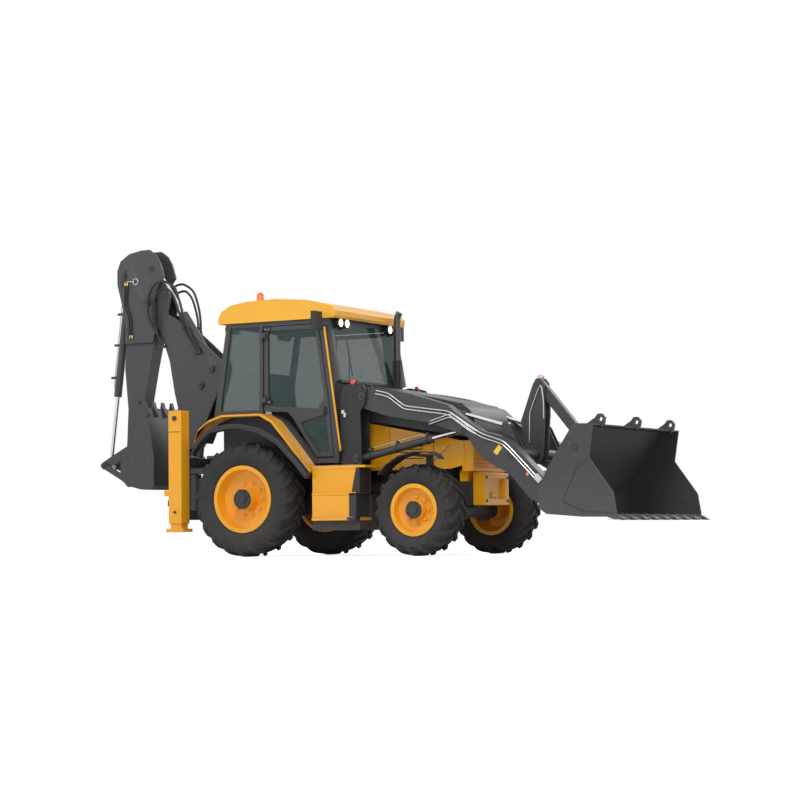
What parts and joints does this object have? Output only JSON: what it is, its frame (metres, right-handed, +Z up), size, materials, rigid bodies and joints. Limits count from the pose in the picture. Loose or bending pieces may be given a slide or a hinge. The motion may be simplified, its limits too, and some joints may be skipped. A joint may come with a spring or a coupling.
{
  "type": "backhoe loader",
  "caption": "Wheeled construction tractor with a front loader bucket on lift arms, a glazed cab and a folded rear digging arm on a side-shift carriage.",
  "frame": {"origin": "middle of the machine's length and width, on the ground", "axes": "+X forward to the loader bucket, +Y to the machine's left, +Z up"},
  "size_m": [7.433, 2.37, 3.734],
  "materials": {
    "yellow_paint": "satin",
    "charcoal_paint": "satin",
    "black_paint": "satin",
    "chrome": "polished",
    "tyre": "matte",
    "glass": "clear",
    "cast_iron": "rough",
    "steel": "brushed",
    "black_plastic": "matte",
    "seat_fabric": "matte",
    "amber_plastic": "gloss"
  },
  "bodies": {
    "chassis": {"chassis_frame": "black_paint", "rear_axle": "black_paint", "front_axle": "black_paint", "engine_block": "cast_iron", "engine_cowling": "yellow_paint", "front_bumper": "yellow_paint", "loader_towers": "yellow_paint", "stabiliser_housings": "yellow_paint", "cab_tub": "charcoal_paint", "cab_frame": "charcoal_paint", "cab_roof": "yellow_paint", "cab_glass": "glass", "dashboard": "black_plastic", "rear_fenders": "yellow_paint", "fender_flares": "black_plastic", "side_steps": "yellow_paint", "exhaust_stack": "steel", "mirrors_and_rails": "black_plastic", "lamps_and_beacon": "amber_plastic"},
    "hood": {"hood": "charcoal_paint"},
    "seat": {"seat_base": "black_plastic", "seat_pads": "seat_fabric"},
    "loader_arms": {"loader_arms": "charcoal_paint"},
    "lift_barrels": {"lift_cylinder_barrels": "charcoal_paint"},
    "lift_rods": {"lift_cylinder_rods": "chrome"},
    "tilt_lever": {"tilt_lever": "charcoal_paint"},
    "tilt_link": {"tilt_link": "charcoal_paint"},
    "tilt_barrels": {"tilt_cylinder_barrels": "charcoal_paint"},
    "tilt_rods": {"tilt_cylinder_rods": "chrome"},
    "loader_bucket": {"loader_bucket": "charcoal_paint"},
    "carriage": {"backhoe_carriage": "charcoal_paint"},
    "swing_post": {"swing_post": "charcoal_paint"},
    "boom": {"backhoe_boom": "charcoal_paint"},
    "dipper": {"backhoe_dipper": "charcoal_paint"},
    "guide_levers": {"guide_levers": "charcoal_paint"},
    "bucket_link": {"bucket_link": "charcoal_paint"},
    "backhoe_bucket": {"backhoe_bucket": "charcoal_paint"},
    "boom_barrel": {"boom_cylinder_barrel": "charcoal_paint"},
    "boom_rod": {"boom_cylinder_rod": "chrome"},
    "dipper_barrel": {"dipper_cylinder_barrel": "charcoal_paint"},
    "dipper_rod": {"dipper_cylinder_rod": "chrome"},
    "bucket_barrel": {"bucket_cylinder_barrel": "charcoal_paint"},
    "bucket_rod": {"bucket_cylinder_rod": "chrome"},
    "door_left": {"door_left": "charcoal_paint", "door_glass_left": "glass"},
    "stabiliser_leg_left": {"stabiliser_leg_left": "yellow_paint"},
    "knuckle_left": {"knuckle_left": "black_paint"},
    "front_wheel_left": {"front_tyre_left": "tyre", "front_rim_left": "yellow_paint"},
    "rear_wheel_left": {"rear_tyre_left": "tyre", "rear_rim_left": "yellow_paint"},
    "door_right": {"door_right": "charcoal_paint", "door_glass_right": "glass"},
    "stabiliser_leg_right": {"stabiliser_leg_right": "yellow_paint"},
    "knuckle_right": {"knuckle_right": "black_paint"},
    "front_wheel_right": {"front_tyre_right": "tyre", "front_rim_right": "yellow_paint"},
    "rear_wheel_right": {"rear_tyre_right": "tyre", "rear_rim_right": "yellow_paint"}
  },
  "joints": [
    {"name": "rear_spin_left", "type": "hinge", "parent": "chassis", "child": "rear_wheel_left", "pos_m": [-1.0365, 0.91, 0.655], "axis": [0, 1, 0], "continuous": true},
    {"name": "steer_left", "type": "hinge", "parent": "chassis", "child": "knuckle_left", "pos_m": [1.1835, 0.65, 0.502], "axis": [0, 0, 1], "range_deg": [-36, 36]},
    {"name": "front_spin_left", "type": "hinge", "parent": "knuckle_left", "child": "front_wheel_left", "pos_m": [1.1835, 0.93, 0.502], "axis": [0, 1, 0], "continuous": true},
    {"name": "rear_spin_right", "type": "hinge", "parent": "chassis", "child": "rear_wheel_right", "pos_m": [-1.0365, -0.91, 0.655], "axis": [0, 1, 0], "continuous": true},
    {"name": "steer_right", "type": "hinge", "parent": "chassis", "child": "knuckle_right", "pos_m": [1.1835, -0.65, 0.502], "axis": [0, 0, 1], "range_deg": [-36, 36]},
    {"name": "front_spin_right", "type": "hinge", "parent": "knuckle_right", "child": "front_wheel_right", "pos_m": [1.1835, -0.93, 0.502], "axis": [0, 1, 0], "continuous": true},
    {"name": "loader_lift", "type": "hinge", "parent": "chassis", "child": "loader_arms", "pos_m": [0.3485, 0, 1.785], "axis": [0, -1, 0], "range_deg": [-8.5, 70]},
    {"name": "lift_barrel_turn", "type": "hinge", "parent": "chassis", "child": "lift_barrels", "pos_m": [0.2695, 0, 1.093], "axis": [0, -1, 0], "range_deg": [-5.97, 49.11]},
    {"name": "lift_rod_slide", "type": "slide", "parent": "lift_barrels", "child": "lift_rods", "axis": [0.9776, 0, 0.2103], "range_m": [-0.0669, 0.5433]},
    {"name": "bucket_tilt", "type": "hinge", "parent": "loader_arms", "child": "loader_bucket", "pos_m": [2.6035, 0, 0.64], "axis": [0, 1, 0], "range_deg": [-40, 115]},
    {"name": "tilt_lever_turn", "type": "hinge", "parent": "loader_arms", "child": "tilt_lever", "pos_m": [2.1635, 0, 1.1], "axis": [0, 1, 0], "range_deg": [-32.07, 92.19]},
    {"name": "tilt_link_turn", "type": "hinge", "parent": "tilt_lever", "child": "tilt_link", "pos_m": [2.2185, 0, 1.875], "axis": [0, 1, 0], "range_deg": [-63.39, 22.05]},
    {"name": "tilt_barrel_turn", "type": "hinge", "parent": "loader_arms", "child": "tilt_barrels", "pos_m": [0.7235, 0, 1.775], "axis": [0, 1, 0], "range_deg": [-4.62, 1.61]},
    {"name": "tilt_rod_slide", "type": "slide", "parent": "tilt_barrels", "child": "tilt_rods", "axis": [0.9633, 0, -0.2684], "range_m": [-0.1584, 0.4535]},
    {"name": "hood_lift", "type": "hinge", "parent": "chassis", "child": "hood", "pos_m": [0.0885, 0, 1.905], "axis": [0, -1, 0], "range_deg": [0, 45]},
    {"name": "door_swing_left", "type": "hinge", "parent": "chassis", "child": "door_left", "pos_m": [-0.9365, 0.805, 2], "axis": [0, 0, 1], "range_deg": [0, 80]},
    {"name": "door_swing_right", "type": "hinge", "parent": "chassis", "child": "door_right", "pos_m": [-0.9365, -0.805, 2], "axis": [0, 0, -1], "range_deg": [0, 80]},
    {"name": "seat_turn", "type": "hinge", "parent": "chassis", "child": "seat", "pos_m": [-0.8565, 0, 1.39], "axis": [0, 0, 1], "range_deg": [0, 180]},
    {"name": "stabiliser_left", "type": "slide", "parent": "chassis", "child": "stabiliser_leg_left", "axis": [0, 0, -1], "range_m": [0, 0.28]},
    {"name": "stabiliser_right", "type": "slide", "parent": "chassis", "child": "stabiliser_leg_right", "axis": [0, 0, -1], "range_m": [0, 0.28]},
    {"name": "side_shift", "type": "slide", "parent": "chassis", "child": "carriage", "axis": [0, 1, 0], "range_m": [-0.55, 0.55]},
    {"name": "backhoe_swing", "type": "hinge", "parent": "carriage", "child": "swing_post", "pos_m": [-2.4115, 0, 0.8], "axis": [0, 0, 1], "range_deg": [-90, 90]},
    {"name": "boom_lower", "type": "hinge", "parent": "swing_post", "child": "boom", "pos_m": [-2.6365, 0, 0.64], "axis": [0, -1, 0], "range_deg": [0, 75]},
    {"name": "boom_barrel_turn", "type": "hinge", "parent": "swing_post", "child": "boom_barrel", "pos_m": [-2.3665, 0, 1.15], "axis": [0, -1, 0], "range_deg": [0, 92.44]},
    {"name": "boom_rod_slide", "type": "slide", "parent": "boom_barrel", "child": "boom_rod", "axis": [0.1213, 0, 0.9926], "range_m": [0, 0.5781]},
    {"name": "dipper_open", "type": "hinge", "parent": "boom", "child": "dipper", "pos_m": [-3.0165, 0, 3.1], "axis": [0, 1, 0], "range_deg": [0, 100]},
    {"name": "dipper_barrel_turn", "type": "hinge", "parent": "boom", "child": "dipper_barrel", "pos_m": [-2.0965, 0, 2.24], "axis": [0, 1, 0], "range_deg": [0, 2.01]},
    {"name": "dipper_rod_slide", "type": "slide", "parent": "dipper_barrel", "child": "dipper_rod", "axis": [-0.5637, 0, 0.8259], "range_m": [-0.6201, 0.001]},
    {"name": "backhoe_bucket_open", "type": "hinge", "parent": "dipper", "child": "backhoe_bucket", "pos_m": [-3.2565, 0, 1.12], "axis": [0, 1, 0], "range_deg": [0, 125.26]},
    {"name": "guide_lever_turn", "type": "hinge", "parent": "dipper", "child": "guide_levers", "pos_m": [-3.2865, 0, 1.313], "axis": [0, 1, 0], "range_deg": [0, 90.19]},
    {"name": "bucket_link_turn", "type": "hinge", "parent": "guide_levers", "child": "bucket_link", "pos_m": [-3.6665, 0, 1.116], "axis": [0, 1, 0], "range_deg": [-34.08, 0.01]},
    {"name": "bucket_barrel_turn", "type": "hinge", "parent": "dipper", "child": "bucket_barrel", "pos_m": [-3.3665, 0, 3.43], "axis": [0, 1, 0], "range_deg": [-2.01, 0.01]},
    {"name": "bucket_rod_slide", "type": "slide", "parent": "bucket_barrel", "child": "bucket_rod", "axis": [-0.1286, 0, -0.9917], "range_m": [-0.5869, 0.001]}
  ],
  "couplings": [
    {"joint": "steer_right", "follows": "steer_left", "ratio": 1},
    {"joint": "lift_barrel_turn", "follows": "loader_lift", "ratio": 0.7},
    {"joint": "lift_rod_slide", "follows": "loader_lift", "m_per_rad": 0.443},
    {"joint": "tilt_lever_turn", "follows": "bucket_tilt", "ratio": 0.8},
    {"joint": "tilt_link_turn", "follows": "bucket_tilt", "ratio": -0.55},
    {"joint": "tilt_barrel_turn", "follows": "bucket_tilt", "ratio": -0.04},
    {"joint": "tilt_rod_slide", "follows": "bucket_tilt", "m_per_rad": 0.225},
    {"joint": "boom_barrel_turn", "follows": "boom_lower", "ratio": 1.23},
    {"joint": "boom_rod_slide", "follows": "boom_lower", "m_per_rad": 0.44},
    {"joint": "dipper_barrel_turn", "follows": "dipper_open", "ratio": 0.02},
    {"joint": "dipper_rod_slide", "follows": "dipper_open", "m_per_rad": -0.354},
    {"joint": "backhoe_bucket_open", "follows": "dipper_open", "ratio": 1.25},
    {"joint": "guide_lever_turn", "follows": "dipper_open", "ratio": 0.9},
    {"joint": "bucket_link_turn", "follows": "dipper_open", "ratio": -0.34},
    {"joint": "bucket_barrel_turn", "follows": "dipper_open", "ratio": -0.02},
    {"joint": "bucket_rod_slide", "follows": "dipper_open", "m_per_rad": -0.335}
  ]
}
